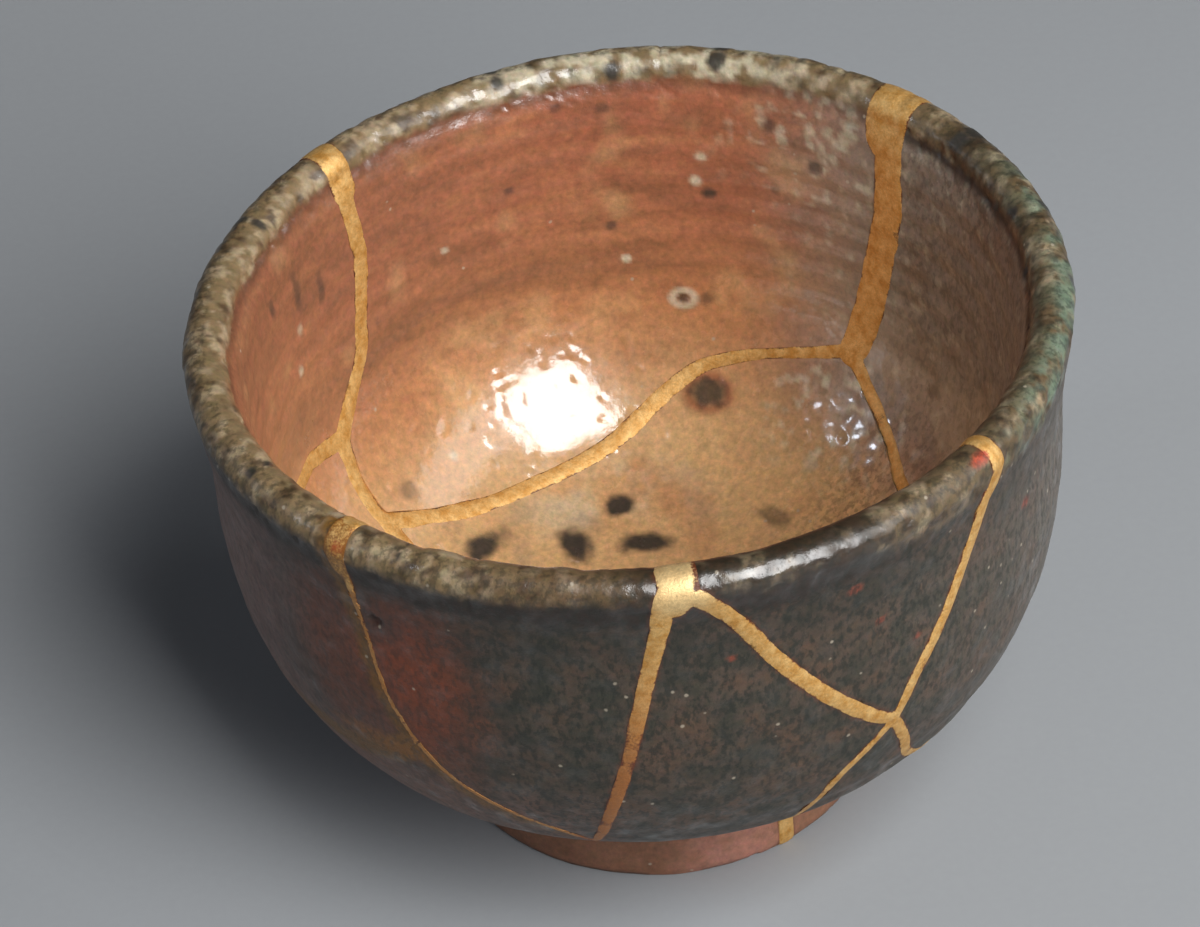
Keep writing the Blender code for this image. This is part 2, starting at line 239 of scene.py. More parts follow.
def grain(points, size, seed):
    """Smooth randomness between -1 and 1: a value for each corner of a lattice of that size, blended in each
    cell along all three directions with the step 3t^2 - 2t^3."""
    scaled = points / size
    cell = np.floor(scaled).astype(np.int64)
    t = scaled - cell
    t = t * t * (3 - 2 * t)
    total = np.zeros(len(points))
    for corner in np.ndindex(2, 2, 2):
        weight = np.prod(np.where(corner, t, 1 - t), axis=1)
        total += weight * corner_value(*(cell + corner).T, seed)
    return total


def rough_grain(points, size, seed, octaves=3):
    """Several sizes of grain added up, each half as large and half as strong as the one before."""
    total = sum(grain(points, size / 2**k, seed + k) / 2**k for k in range(octaves))
    return total / (2 - 0.5 ** (octaves - 1))


def rise(low, high, value):
    """0 below low, 1 above high, and the smooth step 3t^2 - 2t^3 between."""
    t = np.clip((value - low) / (high - low), 0, 1)
    return t * t * (3 - 2 * t)


def blend(first, second, share):
    """The first value where the share is 0, the second where it is 1, and in between by that share."""
    return first + (second - first) * np.asarray(share)[..., None]


def turn_from(azimuth, centre):
    """Degrees from one azimuth to another, between -180 and 180."""
    return (np.degrees(azimuth) - centre + 180) % 360 - 180


# The wall's shape


def flowing(points, per_span):
    """A smooth curve through the points, as cubic spans whose parameter grows with the root of the chord."""
    points = np.array(points, float)
    chords = np.linalg.norm(np.diff(points, axis=0), axis=1)
    knots = np.concatenate([[0.0], np.cumsum(np.sqrt(chords))])
    gaps = np.diff(knots)[:, None]
    slopes = np.diff(points, axis=0) / gaps
    tangents = np.empty_like(points)
    tangents[1:-1] = (slopes[1:] * gaps[:-1] + slopes[:-1] * gaps[1:]) / (gaps[:-1] + gaps[1:])
    tangents[0] = 2 * slopes[0] - tangents[1]
    tangents[-1] = 2 * slopes[-1] - tangents[-2]
    t = np.linspace(0, 1, per_span, endpoint=False)[None, :, None]
    start, end = points[:-1, None], points[1:, None]
    leave, arrive = (tangents[:-1] * gaps)[:, None], (tangents[1:] * gaps)[:, None]
    spans = (
        (2 * t**3 - 3 * t**2 + 1) * start
        + (t**3 - 2 * t**2 + t) * leave
        + (3 * t**2 - 2 * t**3) * end
        + (t**3 - t**2) * arrive
    )
    return np.vstack([spans.reshape(-1, points.shape[1]), points[-1:]])


def travelled(curve):
    """The distance along a curve at each of its points."""
    return np.concatenate([[0.0], np.cumsum(np.linalg.norm(np.diff(curve, axis=0), axis=1))])


def square_to(curve):
    """Unit normals of a curve in the (radius, height) plane: its direction turned a quarter to the right."""
    along = np.gradient(curve, axis=0)
    along /= np.maximum(np.linalg.norm(along, axis=1), 1e-12)[:, None]
    return np.column_stack([along[:, 1], -along[:, 0]])


def quarter(centre, radius, start, end, count=9):
    """Points on an arc: centre + radius * (cos, sin) of the angles between start and end, in degrees."""
    angles = np.radians(np.linspace(start, end, count))
    return np.column_stack([np.cos(angles), np.sin(angles)]) * radius + centre


def wall_profiles():
    """Tables of (level, radius, height, normal) for the outside, the inside and the wall's middle. The inside
    and the middle are the outside's belly moved in by the wall and by half of it, square to it. The foot's
    outline takes the levels that its radii have on the middle, and the lip is two quarters of a circle."""
    per = 24
    belly = [(radius * RIM_RADIUS, height * HEIGHT) for radius, height in BELLY]
    body = flowing([(FOOT_RADIUS, FOOT_HEIGHT), *belly, (RIM_RADIUS, LIP_CENTRE[1])], per)
    normals = square_to(body)

    def moved_in(depth):
        return list(map(tuple, (body - normals * depth)[per:-1:per]))

    half_floor = FLOOR_TOP - FLOOR / 2
    flat = 0.45 * FOOT_RADIUS
    middle = flowing([(0, half_floor), (flat, half_floor), *moved_in(WALL / 2), LIP_CENTRE], per)
    lip_inside = (RIM_RADIUS - LIP, LIP_CENTRE[1])
    inside = flowing([(0, FLOOR_TOP), (flat, FLOOR_TOP + FLOOR_DISH), *moved_in(WALL), lip_inside], per)
    length = travelled(middle)[-1]
    levels = travelled(middle) / length

    ring = FOOT_RADIUS - FOOT_RING_WIDTH
    recess = quarter((ring - FOOT_EDGE, FOOT_RECESS - FOOT_EDGE), FOOT_EDGE, 90, 0)
    inner_edge = quarter((ring + FOOT_EDGE, FOOT_EDGE), FOOT_EDGE, 180, 270)
    outer_edge = quarter((FOOT_RADIUS - FOOT_EDGE, FOOT_EDGE), FOOT_EDGE, 270, 360)
    foot = np.vstack([[(0, FOOT_RECESS)], recess, inner_edge, outer_edge, [(FOOT_RADIUS, FOOT_HEIGHT)]])
    marks = travelled(foot)[[0, len(recess), 2 * len(recess), 3 * len(recess) - len(outer_edge) + 1, -1]]
    fine = np.linspace(0, travelled(foot)[-1], 160)
    foot = np.column_stack([np.interp(fine, travelled(foot), column) for column in foot.T])
    foot_levels = np.interp(fine, marks, FOOT_LEVELS)

    first = body[: per + 1]
    share = travelled(first) / travelled(first)[-1]
    first_levels = FOOT_LEVELS[-1] + share * (levels[2 * per] - FOOT_LEVELS[-1])
    body_levels = np.concatenate([first_levels, levels[2 * per + 1 :]])

    turn = np.linspace(0, 1, 13)[1:]
    lip_levels = 1 + turn * LIP / 2 / length
    lip_out = quarter(LIP_CENTRE, LIP / 2, 0, 90, 13)[1:]
    lip_in = quarter(LIP_CENTRE, LIP / 2, 180, 90, 13)[1:]
    lip_middle = np.column_stack([np.full(12, LIP_CENTRE[0]), LIP_CENTRE[1] + turn * LIP / 2])

    outside = np.vstack([foot[:-1], body, lip_out])
    outside_levels = np.concatenate([foot_levels[:-1], body_levels, lip_levels])
    inside = np.vstack([inside, lip_in])
    middle = np.vstack([middle, lip_middle])
    levels = np.concatenate([levels, lip_levels])
    tables = {}
    for name, table_levels, curve, side in (
        ("outside", outside_levels, outside, 1), ("inside", levels, inside, -1), ("middle", levels, middle, 1)
    ):
        tables[name] = np.column_stack([table_levels, curve, square_to(curve) * side])
    return tables, length


PROFILES, WALL_LENGTH = wall_profiles()
LIP_LEVEL = 1 + LIP / 2 / WALL_LENGTH


def on_wall(side, azimuth, level):
    """Points and unit normals at places: the profile's radius and height swung round to the azimuth, and then
    made slightly oval and wavy towards the rim."""
    table = PROFILES[side]
    radius, height, out, up = (np.interp(level, table[:, 0], table[:, k]) for k in (1, 2, 3, 4))
    size = np.maximum(np.hypot(out, up), 1e-9)
    share = np.clip(height / HEIGHT, 0, 1)
    oval = OVAL * np.cos(2 * (azimuth - math.radians(OVAL_AZIMUTH)))
    wave = RIM_WAVE * np.cos(2 * (azimuth - math.radians(RIM_WAVE_AZIMUTH)))
    radius = radius * (1 + share * oval / RIM_RADIUS)
    height = height + share**3 * wave
    across, ahead = np.sin(azimuth), -np.cos(azimuth)
    points = np.column_stack([radius * across, radius * ahead, height])
    normals = np.column_stack([out * across, out * ahead, up]) / size[:, None]
    return points, normals


def radius_at(level):
    """The radius of the wall's middle at a level."""
    return np.interp(level, PROFILES["middle"][:, 0], PROFILES["middle"][:, 1])


def spot(azimuth, level, centre, size, edge=0.35, wobble=0.0):
    """1 inside an ellipse on the wall and 0 outside it: the distances round and up, as shares of its half
    sizes in mm, squared and added, with a soft edge."""
    round_mm = np.radians(turn_from(azimuth, centre[0])) * radius_at(level) / MM
    up_mm = (level - centre[1]) * WALL_LENGTH / MM
    away = np.hypot(round_mm / size[0], up_mm / size[1]) + wobble
    return 1 - rise(1 - edge, 1 + edge, away)


def spotted(colour, tint, azimuth, level, spots, edge, wobble):
    """A colour with small ellipses of a tint on it, each with its own place, half sizes and strength."""
    for turn, high, wide, tall, strength in spots:
        shape = spot(azimuth, level, (turn, high), (wide, tall), edge, wobble)
        colour = blend(colour, tint, shape * strength)
    return colour


def stretch_of(azimuth, start, end, soft):
    """1 for azimuths between start and end, in degrees, with soft ends."""
    half = (end - start) / 2
    return 1 - rise(half - soft / 2, half + soft / 2, np.abs(turn_from(azimuth, start + half)))


def hill(value, middle, spread):
    """1 at the middle, falling off on both sides as e to the minus square of the way out over the spread."""
    return np.exp(-(((value - middle) / spread) ** 2))


def bare_clay(level):
    """1 on the unglazed clay at the foot and 0 above it."""
    return 1 - rise(*BARE_END, level)


def slow_lumps(points):
    """The slow unevenness of the clay outside, in mm, which the gold follows too."""
    return 0.10 * grain(points, 14 * MM, 21) + 0.05 * grain(points, 5 * MM, 22)


# The grid of places and the cracks' distances


def level_rows():
    """The grid's levels: the given count of even steps between each two marks, and then the lip's."""
    spans = zip(ROW_MARKS, ROW_MARKS[1:], ROW_COUNTS)
    rows = [np.linspace(low, high, count, endpoint=False) for low, high, count in spans]
    return np.concatenate([*rows, np.linspace(1, LIP_LEVEL, LIP_ROWS + 1)])


def crack_line(name):
    """A crack's azimuths, levels and widths in small steps, and the index of each of its given points: a
    smooth line through the points on the wall spread flat as a disc, where the level is the radius."""
    azimuths, levels, widths = np.array(CRACKS[name], float).T
    azimuths = np.radians(azimuths)
    rim = levels[0] >= 1
    if rim:
        azimuths = np.concatenate([azimuths[:1], azimuths])
        levels = np.concatenate([[LIP_LEVEL + 0.03], levels])
        widths = np.concatenate([widths[:1], widths])
    per = 12
    disc = np.column_stack([levels * np.sin(azimuths), -levels * np.cos(azimuths), widths])
    line = flowing(disc, per)
    marks = np.arange(len(CRACKS[name])) * per + per * rim
    return np.arctan2(line[:, 0], -line[:, 1]), np.hypot(line[:, 0], line[:, 1]), line[:, 2] * MM, marks


LINES = {name: crack_line(name) for name in CRACKS}


def seam_distances(azimuth, level):
    """For each place, how far it lies outside the gold (negative inside), and the gold's half width there:
    the distance in space, on the middle of the wall, to the nearest crack segment, less half of that
    segment's width, with the edge made ragged by grain."""
    places, _ = on_wall("middle", azimuth, np.minimum(level, LIP_LEVEL))
    places[:, 2] += np.maximum(level - LIP_LEVEL, 0) * WALL_LENGTH
    ragged = 0.08 * grain(places, 0.9 * MM, 11) + 0.03 * grain(places, 0.5 * MM, 12)
    ragged = ragged + 0.10 * grain(places, 3 * MM, 13)
    outside = np.full(len(places), FAR)
    half = np.full(len(places), 0.5 * MM)
    for line_azimuth, line_level, width, _ in LINES.values():
        line, _ = on_wall("middle", line_azimuth, np.minimum(line_level, LIP_LEVEL))
        line[:, 2] += np.maximum(line_level - LIP_LEVEL, 0) * WALL_LENGTH
        low, high = line.min(axis=0) - FAR, line.max(axis=0) + FAR
        near = np.flatnonzero(np.all((places > low) & (places < high), axis=1))
        for part in np.array_split(near, max(1, len(near) // 4000)):
            start, along = line[:-1], np.diff(line, axis=0)
            offset = places[part, None] - start
            share = np.clip((offset * along).sum(2) / (along * along).sum(1), 0, 1)
            away = np.linalg.norm(offset - share[..., None] * along, axis=2)
            half_width = (width[:-1] + share * np.diff(width)) / 2
            edge = away - half_width
            best = edge.argmin(axis=1)
            rows = np.arange(len(part))
            edge, half_width = edge[rows, best], half_width[rows, best]
            edge = edge + ragged[part] * np.minimum(half_width * 1.1, 0.9 * MM)
            closer = edge < outside[part]
            outside[part] = np.where(closer, edge, outside[part])
            half[part] = np.where(closer, half_width, half[part])
    return outside, half


def fit_to_edge(azimuth, level, outside):
    """Moves grid places within half a cell of the gold's edge onto it. In grid steps, the move is the
    distance times its slope over the slope's square, so that the distance there becomes nothing."""
    around = (np.roll(outside, -1, axis=1) - np.roll(outside, 1, axis=1)) / 2
    upward = np.gradient(outside, axis=0)
    steep = around**2 + upward**2 + 1e-16
    step_round, step_up = -outside * around / steep, -outside * upward / steep
    half_cell = 0.52
    snap = (np.abs(step_round) <= half_cell) & (np.abs(step_up) <= half_cell) & (np.abs(outside) < 0.5 * MM)
    snap[:2] = False
    snap[-1] = False
    step_round = np.where(snap, step_round, 0)
    step_up = np.where(snap, step_up, 0)
    rows = np.arange(len(level), dtype=float)[:, None] + step_up
    new_level = np.interp(rows, np.arange(len(level)), level[:, 0])
    return azimuth + step_round * math.tau / ROUND, new_level, np.where(snap, 0.0, outside)


def within(points, outline):
    """Whether each point lies in a closed outline: an odd number of its edges cross the line to the right."""
    inside = np.zeros(len(points), bool)
    x, y = points.T
    for (ax, ay), (bx, by) in zip(outline, np.roll(outline, -1, axis=0)):
        if ay != by:
            crossing = (ay > y) != (by > y)
            inside ^= crossing & (x < (bx - ax) * (y - ay) / (by - ay) + ax)
    return inside


def sherd_outline(walk):
    """A sherd's outline on the flat disc: its crack stretches, joined round the rim where it has some."""
    parts = []
    for name, start, end in walk:
        azimuths, levels, _, marks = LINES[name]
        first = 0 if levels[0] > 1 and start == 0 else marks[start]
        last = 0 if levels[0] > 1 and end == 0 else marks[end]
        step = 1 if last >= first else -1
        chosen = np.arange(first, last + step, step)
        parts.append(np.column_stack([azimuths[chosen], levels[chosen]]))
    line = np.vstack(parts)
    if line[-1, 1] > 1:
        back = (line[0, 0] - line[-1, 0] + math.pi) % math.tau - math.pi
        rim = line[-1, 0] + np.linspace(0, 1, 40) * back
        line = np.vstack([line, np.column_stack([rim, np.full(40, LIP_LEVEL + 0.05)])])
    return np.column_stack([line[:, 1] * np.sin(line[:, 0]), -line[:, 1] * np.cos(line[:, 0])])


# Relief


def lip_pits(level, points):
    """Pinholes and small dents where the glaze on the lip has boiled."""
    rim = rise(0.955, 0.99, level)
    pinholes = rise(0.42, 0.7, grain(points, 0.75 * MM, 27))
    dents = rise(0.3, 0.9, grain(points, 2.2 * MM, 28))
    swell = 0.06 * grain(points, 1.7 * MM, 38) + 0.07 * grain(points, 0.75 * MM, 40)
    return rim * (swell - 0.17 * pinholes - 0.10 * dents)


def outside_relief(azimuth, level, points):
    """Height of the clay over the smooth outside: slow lumps, faint rings from the throwing, low ridges from
    the turning tool near the foot, a hollow under the lip, a grainy skin, pits at the rim, knocks on the bare
    foot, one deep pit with a raised lip, and one knob of clay on the right."""
    height = points[:, 2]
    bare = 1 - rise(0.312, 0.33, level)
    lumps = slow_lumps(points)
    rings = 0.018 * np.sin(height / (3.1 * MM) * math.tau + azimuth + 2 * grain(points, 20 * MM, 23))
    low = rise(0.36, 0.42, level) * (1 - rise(0.55, 0.68, level))
    low = low * (0.35 + 0.65 * stretch_of(azimuth, 20, 120, 40))
    ridges = low * 0.075 * np.sin(height / (3.4 * MM) * math.tau + 3.0 * grain(points, 9 * MM, 24))
    hollow = -0.10 * hill(level, 0.945, 0.012) * stretch_of(azimuth, -45, 60, 50)
    skin = 0.016 * grain(points, 1.1 * MM, 25) + 0.012 * grain(points, 0.6 * MM, 26)
    knocks = bare * (0.05 * grain(points, 2.5 * MM, 29) - 0.12 * rise(0.5, 0.9, grain(points, 1.6 * MM, 30)))
    pit = 0.12 * spot(azimuth, level, (-38.3, 0.905), (0.9, 0.8), 0.4)
    pit = pit - 0.5 * spot(azimuth, level, (-38, 0.90), (0.5, 0.5), 0.6)
    knob = 0.35 * spot(azimuth, level, (89, 0.60), (0.9, 0.7), 0.6)
    form = lumps + rings + ridges + hollow
    return (form + skin + lip_pits(level, points) + knocks + pit + knob) * MM


def inside_relief(azimuth, level, points):
    """Height of the clay over the smooth inside: throwing rings that climb in a slow spiral, one soft ledge
    part way down, a fillet where the wall meets the floor, lumps of pooled glaze on the floor, wet skin with
    beads and drips, pits at the rim, the blister, and the crater with its raised ring."""
    height = points[:, 2]
    wall = rise(0.55, 0.75, level) * (1 - rise(0.95, 1.0, level))
    turn = height / (2.6 * MM) + azimuth / math.tau
    rings = wall * 0.05 * np.sin(math.tau * turn + 2.4 * grain(points, 12 * MM, 31))
    fine = wall * 0.016 * np.sin(math.tau * height / (0.75 * MM) + 4 * grain(points, 5 * MM, 32))
    ledge = wall * 0.08 * np.sin(math.tau * height / (13 * MM) + 0.4)
    floor = 1 - rise(0.5, 0.8, level)
    rough_patch = spot(azimuth, level, WET_PATCH, (7, 5.5), 0.6)
    pools = floor * (0.018 * grain(points, 5.5 * MM, 33) + 0.006 * grain(points, 1.9 * MM, 34))
    fillet = 0.4 * hill(level, 0.49, 5.5 * MM / WALL_LENGTH)
    wet = (0.4 + 1.9 * rough_patch) * 0.026 * grain(points, 0.85 * MM, 35)
    beaded = spot(azimuth, level, (-168, 0.5), (14, 9), 0.5)
    beads = 0.05 * rise(0.52, 0.8, grain(points, 0.9 * MM, 36)) * beaded
    drips = (0.05 + 0.06 * rough_patch) * rise(0.45, 0.8, grain(points, 1.2 * MM, 39)) * floor
    blister = 0.12 * spot(azimuth, level, BLISTER, (1.7, 1.4), 0.6)
    ring = 0.10 * spot(azimuth, level, CRATER, (1.3, 1.0), 0.3)
    ring = ring - 0.16 * spot(azimuth, level, CRATER, (0.5, 0.4), 0.5)
    form = rings + fine + ledge + fillet + pools
    return (form + wet + drips + beads + lip_pits(level, points) + blister + ring) * MM


# The fired surface's colours, as masks over the wall


def rim_colour(azimuth, level, points):
    """The ash glaze on the lip: tan with cream curds and brown breaks a millimetre wide, dark and glossy at
    the front right, pale ash at the back with a painted highlight in it, and green on the right."""
    curds = rough_grain(points, 1.1 * MM, 41, 2)
    breaks = rough_grain(points, 0.85 * MM, 44, 2)
    fine = rough_grain(points, 0.55 * MM, 42, 2)
    colour = blend(np.broadcast_to(RIM_TAN, points.shape), CREAM, rise(-0.05, 0.45, curds + 0.3 * fine))
    colour = blend(colour, RIM_BROWN, rise(0.0, 0.5, breaks + 0.3 * fine) * 0.65)
    browned = 0.45 * (1 - rise(0.982, 1.004, level)) + 0.6 * stretch_of(azimuth, -22, 3, 16)
    colour = blend(colour, RIM_BROWN, np.clip(browned + 0.2 * curds, 0, 0.9))
    # Pale ash glaze at the back of the lip, lightened further as a painted highlight
    back = stretch_of(azimuth, 152, 196, 26)
    colour = blend(colour, PALE_ASH_AND_PAINTED_SHEEN, back * rise(-0.35, 0.45, curds + 0.4 * fine) * 0.65)
    dark = stretch_of(azimuth, -4, 29, 10) + 0.5 * stretch_of(azimuth, 27, 125, 10)
    dark = dark + 0.3 * stretch_of(azimuth, 115, 145, 16)
    dark = np.clip(dark - 0.3 * rise(0.1, 0.5, curds), 0, 1)
    colour = blend(colour, TREACLE, dark * 0.9)
    green = stretch_of(azimuth, 56, 112, 24)
    patches = rough_grain(points, 1.5 * MM, 43)
    outer = 0.3 + 0.7 * rise(-0.6 * MM, 0.8 * MM, np.hypot(points[:, 0], points[:, 1]) - LIP_CENTRE[0])
    colour = blend(colour, VERDIGRIS, green * outer * rise(-0.3, 0.35, patches + 0.4 * fine) * 0.6)
    return blend(colour, TREACLE, rise(0.3, 0.55, breaks + 0.5 * fine) * 0.4)


def smoked_wall(azimuth, level, slow, mottle, fine):
    """The fired wall outside: smoked dark at the front, flushed red to its left, mauve ash on the left, and
    grey ash on the right."""
    colour = blend(np.tile(SMOKED, (len(level), 1)), OLIVE, rise(-0.2, 0.4, mottle + 0.6 * fine) * 0.65)
    colour = blend(colour, RUST, rise(0.0, 0.5, -mottle + 0.3 * slow + 0.4 * fine) * 0.55)
    left = 1 - rise(-62, -44, turn_from(azimuth, 0) + 6 * slow)
    left = np.maximum(left, stretch_of(azimuth, 150, 200, 30))
    mauve = blend(np.tile(MAUVE, (len(level), 1)), PLUM, rise(-0.5, 0.4, slow + 0.3 * mottle) * 0.7)
    colour = blend(colour, mauve, left * 0.92)
    low_left = stretch_of(azimuth, -75, -12, 18) * (1 - rise(0.58, 0.68, level + 0.03 * slow))
    colour = blend(colour, mauve, low_left * 0.8)
    colour = blend(colour, UMBER, low_left * 0.5)
    beside = spot(azimuth, level, (-46, 0.80), (3.6, 9.5), 0.6, 0.25 * slow)
    colour = blend(colour, FLUSH, beside * 0.55)
    flush = spot(azimuth, level, (-32.5, 0.80), (4.3, 8.5), 0.7, 0.3 * slow + 0.25 * mottle)
    colour = blend(colour, FLUSH, flush * (0.92 + 0.08 * mottle))
    smoke = 0.2 + 0.3 * rise(0.0, 0.4, fine + 0.4 * mottle)
    colour = blend(colour, OLIVE, stretch_of(azimuth, -30, -6, 12) * smoke)
    right = stretch_of(azimuth, 62, 150, 40)
    ash = right * (0.58 + 0.25 * mottle) + 0.12 * stretch_of(azimuth, 34, 80, 20)
    return blend(colour, ASH_GREY, np.clip(ash, 0, 1))


def outside_colour(azimuth, level, points):
    """The outside: the smoked wall, darker towards the lip with painted shade under it, the rim's ash glaze
    above with a dark fringe that runs down under it, iron spots, and bare clay below, lighter and pink at the
    front right of the foot as a painted highlight."""
    slow = rough_grain(points, 9 * MM, 51)
    mottle = rough_grain(points, 2.2 * MM, 52)
    fine = rough_grain(points, 0.8 * MM, 53, 2)
    colour = smoked_wall(azimuth, level, slow, mottle, fine)
    edge = 1.0 - 0.022 * stretch_of(azimuth, 30, 120, 12) + 0.006 * mottle + 0.006 * fine
    drip = 0.962 + 0.014 * rough_grain(points * [1, 1, 0.4], 1.3 * MM, 55)
    fringe = rise(drip - 0.006, drip + 0.010, level) * stretch_of(azimuth, -190, 30, 30)
    # Painted shade: the wall darkens towards the lip, under its overhang
    colour = blend(colour, TREACLE, rise(0.85, 0.96, level) * 0.3)
    colour = blend(colour, TREACLE, fringe * 0.9)
    colour = blend(colour, rim_colour(azimuth, level, points), rise(edge - 0.008, edge + 0.008, level))
    colour = spotted(colour, IRON_RED, azimuth, level, RED_SPOTS, 0.5, 0.4 * fine)
    colour = blend(colour, SOOT, spot(azimuth, level, (-37.5, 0.895), (1.5, 1.3), 0.7) * 0.6)
    colour = blend(colour, BARE, bare_clay(level + 0.003 * mottle))
    # Painted highlight: the bare clay pink and lighter at the front right of the foot, where the window's
    # light falls
    painted_highlight_on_foot = (1 - rise(0.312, 0.325, level)) * stretch_of(azimuth, 2, 27, 16)
    colour = blend(colour, BARE_PAINTED_HIGHLIGHT, painted_highlight_on_foot * rise(-0.5, 0.3, mottle + 0.2) * 0.8)
    bare_dark = bare_clay(level) * rise(0.0, 0.6, rough_grain(points, 3 * MM, 54))
    return blend(colour, UMBER, bare_dark * 0.55)


def flamed_wall(azimuth, level, points, slow, mottle, fine):
    """The fired inside: flame red at the top, apricot lower down, tan on the floor, and darker in streaks
    and in the hollows of the throwing rings."""
    drawn = rough_grain(points * [0.3, 0.3, 1], 1.1 * MM, 64)
    patch = rough_grain(points, 4.5 * MM, 66)
    top = rise(0.62, 0.86, level + 0.05 * slow)
    colour = blend(np.broadcast_to(APRICOT, points.shape), EMBER, top * (0.8 + 0.3 * slow))
    colour = blend(colour, TAN, (1 - rise(0.40, 0.66, level + 0.05 * slow)) * (0.8 + 0.3 * mottle))
    band = hill(level + 0.02 * slow, 0.70, 0.045) * stretch_of(azimuth, -190, -70, 60)
    colour = blend(colour, UMBER, band * 0.5)
    colour = blend(colour, UMBER, rise(-0.1, 0.6, drawn + 0.3 * fine) * rise(0.5, 0.7, level) * 0.5)
    colour = blend(colour, APRICOT, rise(0.1, 0.6, -drawn + 0.3 * fine) * rise(0.5, 0.7, level) * 0.5)
    colour = blend(colour, UMBER, rise(0.1, 0.7, mottle) * 0.2)
    colour = blend(colour, EMBER, rise(0.1, 0.6, patch) * (1 - rise(0.6, 0.8, level)) * 0.25)
    colour = blend(colour, TAN, rise(0.1, 0.6, -patch) * 0.35)
    colour = blend(colour, UMBER, stretch_of(azimuth, -165, -50, 50) * rise(0.55, 0.75, level) * 0.3)
    return blend(colour, UMBER, stretch_of(azimuth, -140, -85, 30) * rise(0.8, 0.95, level) * 0.35)


def ash_inside(colour, azimuth, level, points, slow, mottle, fine):
    """Ash that settled inside: grey-brown with pale flecks on the right wall, scattered pale grit at its top,
    painted glints where the floor begins, a pale painted sheen on the floor, and grey in patches on the
    floor."""
    right = stretch_of(azimuth, 20, 147, 32)
    ash = right * rise(0.40, 0.56, level + 0.04 * mottle)
    grey = blend(np.broadcast_to(ASH_WALL, points.shape), ASH_BROWN, rise(-0.3, 0.6, mottle + 0.3 * slow))
    colour = blend(colour, grey, ash * 0.92)
    colour = blend(colour, PALE_ASH_AND_PAINTED_SHEEN, ash * rise(0.2, 0.7, fine + 0.3 * mottle) * 0.4)
    # Pale grit at the top of the right wall, and painted glints, pale blotches in place of highlights, where
    # the floor begins on the right
    pale_grit_and_painted_glints = spot(azimuth, level, (149, 0.93), (7, 6), 0.6)
    pale_grit_and_painted_glints = pale_grit_and_painted_glints + 1.3 * spot(azimuth, level, (137, 0.50), (7, 5), 0.6)
    colour = blend(colour, PALE_ASH_AND_PAINTED_SHEEN, np.clip(pale_grit_and_painted_glints * rise(0.05, 0.6, fine + 0.2 * mottle) * 0.45, 0, 1))
    # Painted sheen: a pale veil of painted reflection on the floor beside the highlight
    painted_sheen_mask = spot(azimuth, level, PAINTED_SHEEN, (7, 3), 0.6) * rise(-0.5, 0.4, mottle + 0.3 * fine)
    colour = blend(colour, PALE_ASH_AND_PAINTED_SHEEN, painted_sheen_mask * 0.5)
    pale = (1 - rise(0.2, 0.5, level)) * rise(0.2, 0.7, rough_grain(points, 5 * MM, 65))
    return blend(colour, ASH_GREY, pale * 0.5)


def inside_colour(azimuth, level, points):
    """The inside: the flamed wall, the ash on it, dark and pale spots, the blister with its red halo, the
    crater with its pale ring, and the rim's glaze above a dark edge that is partly painted shade, deepest on
    the right."""
    slow = rough_grain(points, 10 * MM, 61)
    mottle = rough_grain(points, 2.6 * MM, 62)
    fine = rough_grain(points, 0.8 * MM, 63, 2)
    colour = flamed_wall(azimuth, level, points, slow, mottle, fine)
    colour = ash_inside(colour, azimuth, level, points, slow, mottle, fine)
    colour = spotted(colour, SOOT, azimuth, level, DARK_SPOTS, 0.45, 0.35 * fine + 0.2 * mottle)
    halo = spot(azimuth, level, BLISTER, (2.3, 1.9), 0.3) - spot(azimuth, level, BLISTER, (1.5, 1.2), 0.3)
    colour = blend(colour, IRON_RED, np.clip(halo, 0, 1) * 0.7)
    colour = blend(colour, SOOT, spot(azimuth, level, BLISTER, (1.7, 1.3), 0.3, 0.3 * fine) * 0.85)
    colour = spotted(colour, PALE_ASH_AND_PAINTED_SHEEN, azimuth, level, PALE_SPOTS, 0.5, 0.3 * fine)
    ring = spot(azimuth, level, CRATER, (1.3, 1.0), 0.2) - spot(azimuth, level, CRATER, (0.6, 0.5), 0.3)
    colour = blend(colour, PALE_ASH_AND_PAINTED_SHEEN, np.clip(ring, 0, 1) * 0.6)
    colour = blend(colour, SOOT, spot(azimuth, level, CRATER, (0.55, 0.45), 0.4) * 0.8)
    edge = 1.0 + 0.006 * mottle + 0.004 * fine
    # The dark glaze edge under the lip, with painted shade on it that is deepest on the right, below the lip
    # that shades the wall
    shade = rise(edge - 0.026, edge - 0.004, level) * (0.45 + 0.5 * stretch_of(azimuth, 60, 135, 20))
    colour = blend(colour, TREACLE, shade)
    return blend(colour, rim_colour(azimuth, level, points), rise(edge - 0.003, edge + 0.006, level))


def unseen_low_seam(azimuth, level):
    """1 along the low seam on the left, whose lacquer has no gold and hardly shows outside."""
    turn = turn_from(azimuth, 0)
    run = rise(-117, -97, turn) * (1 - rise(-36, -34.4, turn))
    return run * rise(0.595, 0.605, level) * (1 - rise(0.695, 0.705, level))


